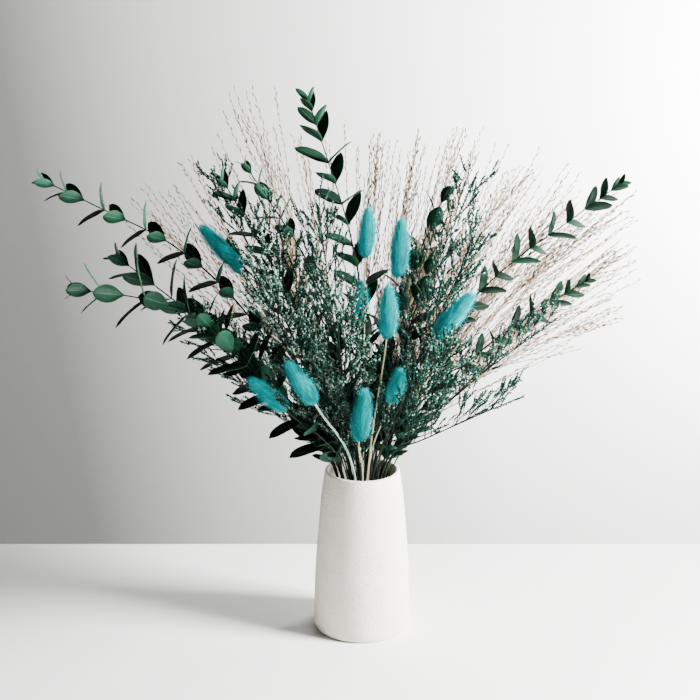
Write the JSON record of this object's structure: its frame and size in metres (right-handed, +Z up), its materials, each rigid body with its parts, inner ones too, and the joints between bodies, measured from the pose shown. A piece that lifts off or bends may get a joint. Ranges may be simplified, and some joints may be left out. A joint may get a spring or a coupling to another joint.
{
  "type": "dried flower arrangement in a vase",
  "caption": "Loose fan of preserved eucalyptus, turquoise hare's-tail grass, teal sea lavender and beige plume grass standing in a tapered matt white ceramic vase.",
  "frame": {"origin": "centre of the vase's flat underside", "axes": "+Z up the vase, -Y towards the front of the arrangement, +X to its right as seen from the front"},
  "size_m": [0.5763, 0.2947, 0.5456],
  "materials": {
    "ceramic": "warm white, matt, fine grainy skin",
    "eucalyptus": "preserved leaves, deep teal green with a soft sheen, from near black to bright green",
    "fluff": "dyed turquoise, furry, paler at the tips of the hairs",
    "straw": "dry pale straw stems, matt",
    "sea_lavender": "dyed teal twigs with pale papery florets",
    "plume_grass": "dry pinkish beige culms with darker spikelets"
  },
  "bodies": {
    "root": {"eucalyptus_back_left": "eucalyptus", "eucalyptus_back_right": "eucalyptus", "eucalyptus_far_left": "eucalyptus", "eucalyptus_inner_left": "eucalyptus", "eucalyptus_inner_right": "eucalyptus", "eucalyptus_left_low": "eucalyptus", "eucalyptus_left_mid": "eucalyptus", "eucalyptus_low_left": "eucalyptus", "eucalyptus_right_high": "eucalyptus", "eucalyptus_right_low": "eucalyptus", "eucalyptus_top": "eucalyptus", "eucalyptus_upper_left": "eucalyptus", "eucalyptus_upper_right": "eucalyptus", "hares_tail_centre": "fluff", "hares_tail_centre_low": "fluff", "hares_tail_far_left": "fluff", "hares_tail_hidden": "fluff", "hares_tail_left_front": "fluff", "hares_tail_left_low": "fluff", "hares_tail_right": "fluff", "hares_tail_right_low": "fluff", "hares_tail_stem_centre": "straw", "hares_tail_stem_centre_low": "straw", "hares_tail_stem_far_left": "straw", "hares_tail_stem_hidden": "straw", "hares_tail_stem_left_front": "straw", "hares_tail_stem_left_low": "straw", "hares_tail_stem_right": "straw", "hares_tail_stem_right_low": "straw", "hares_tail_stem_top_left": "straw", "hares_tail_stem_top_right": "straw", "hares_tail_top_left": "fluff", "hares_tail_top_right": "fluff", "plume_grass_a": "plume_grass", "plume_grass_b": "plume_grass", "plume_grass_c": "plume_grass", "plume_grass_d": "plume_grass", "plume_grass_e": "plume_grass", "plume_grass_f": "plume_grass", "plume_grass_g": "plume_grass", "plume_grass_h": "plume_grass", "plume_grass_i": "plume_grass", "plume_grass_j": "plume_grass", "plume_grass_k": "plume_grass", "plume_grass_l": "plume_grass", "sea_lavender_back_left": "sea_lavender", "sea_lavender_back_right": "sea_lavender", "sea_lavender_centre": "sea_lavender", "sea_lavender_front": "sea_lavender", "sea_lavender_left": "sea_lavender", "sea_lavender_low_right": "sea_lavender", "sea_lavender_low_right_long": "sea_lavender", "sea_lavender_mid_left": "sea_lavender", "sea_lavender_right": "sea_lavender", "sea_lavender_right_front": "sea_lavender", "sea_lavender_right_high": "sea_lavender", "sea_lavender_top_left": "sea_lavender", "sea_lavender_upper_left": "sea_lavender", "vase": "ceramic"}
  },
  "joints": []
}
